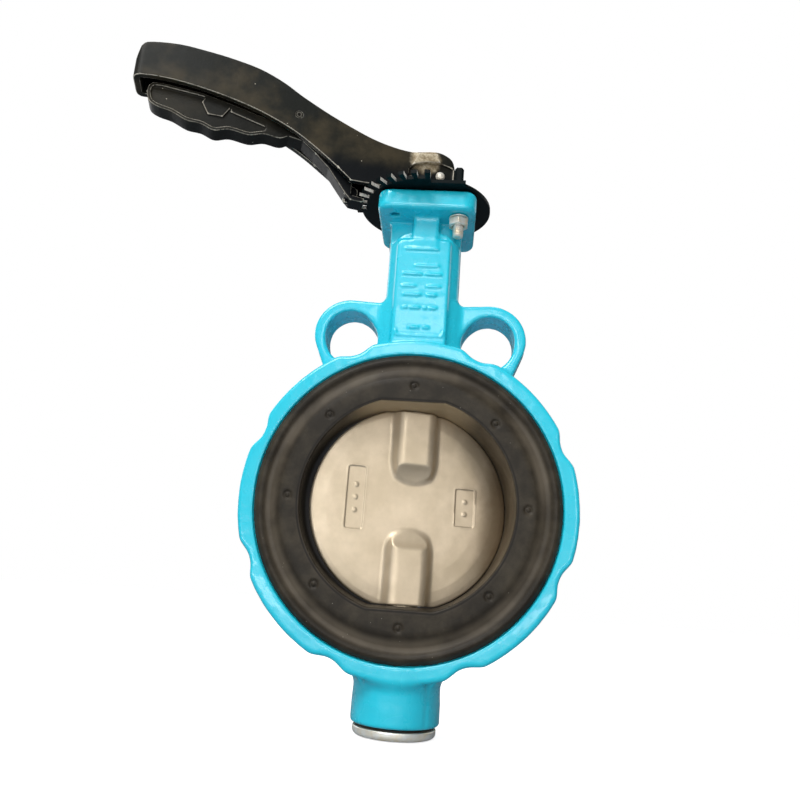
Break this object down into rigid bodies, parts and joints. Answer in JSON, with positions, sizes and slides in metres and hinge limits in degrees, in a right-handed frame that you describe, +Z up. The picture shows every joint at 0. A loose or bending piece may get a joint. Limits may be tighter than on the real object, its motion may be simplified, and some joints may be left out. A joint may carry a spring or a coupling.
{
  "type": "butterfly valve",
  "caption": "Wafer butterfly valve with rubber-lined bore, guide ears, quarter-turn disc and a latching squeeze lever over a toothed plate.",
  "frame": {"origin": "centre of the bore, on the stem axis, midway between the two sealing faces", "axes": "+Z up the stem towards the lever, +Y along the pipe away from the front face, +X to the right of the front face"},
  "size_m": [0.2531, 0.089, 0.3533],
  "materials": {
    "paint": "semi-gloss enamel over a sand casting",
    "rubber": "moulded satin",
    "stainless": "blasted investment casting",
    "black_steel": "black, worn on the cut edges",
    "black_cast": "semi-gloss black over a casting, worn to brown",
    "plated": "zinc plated",
    "bronze": "turned"
  },
  "bodies": {
    "valve": {"valve_body": "paint", "seat_liner": "rubber", "upper_bush": "bronze", "middle_bush": "bronze", "lower_bush": "bronze", "upper_o_ring": "rubber", "lower_o_ring": "rubber", "retaining_ring": "plated", "bottom_plug": "plated", "plug_seal": "rubber", "notch_plate": "black_steel", "flange_bolt_front": "plated", "flange_nut_front": "plated", "flange_washer_front": "plated", "flange_bolt_rear": "plated", "flange_nut_rear": "plated", "flange_washer_rear": "plated"},
    "lever_and_disc": {"disc": "stainless", "upper_stem": "stainless", "lower_stem": "stainless", "stem_washer": "plated", "lever_handle": "black_cast", "clamp_screw": "plated", "trigger_pin": "plated", "trigger_spring": "plated"},
    "latch": {"trigger": "black_cast"}
  },
  "joints": [
    {"name": "valve_turn", "type": "hinge", "parent": "valve", "child": "lever_and_disc", "pos_m": [0, 0, 0], "axis": [0, 0, 1], "range_deg": [-15, 75]},
    {"name": "trigger_squeeze", "type": "hinge", "parent": "lever_and_disc", "child": "latch", "pos_m": [-0.07756, -0.02078, 0.2127], "axis": [-0.2588, 0.9659, 0], "range_deg": [0, 8], "stiffness_Nm_per_rad": 1, "springref_deg": -20.05}
  ]
}
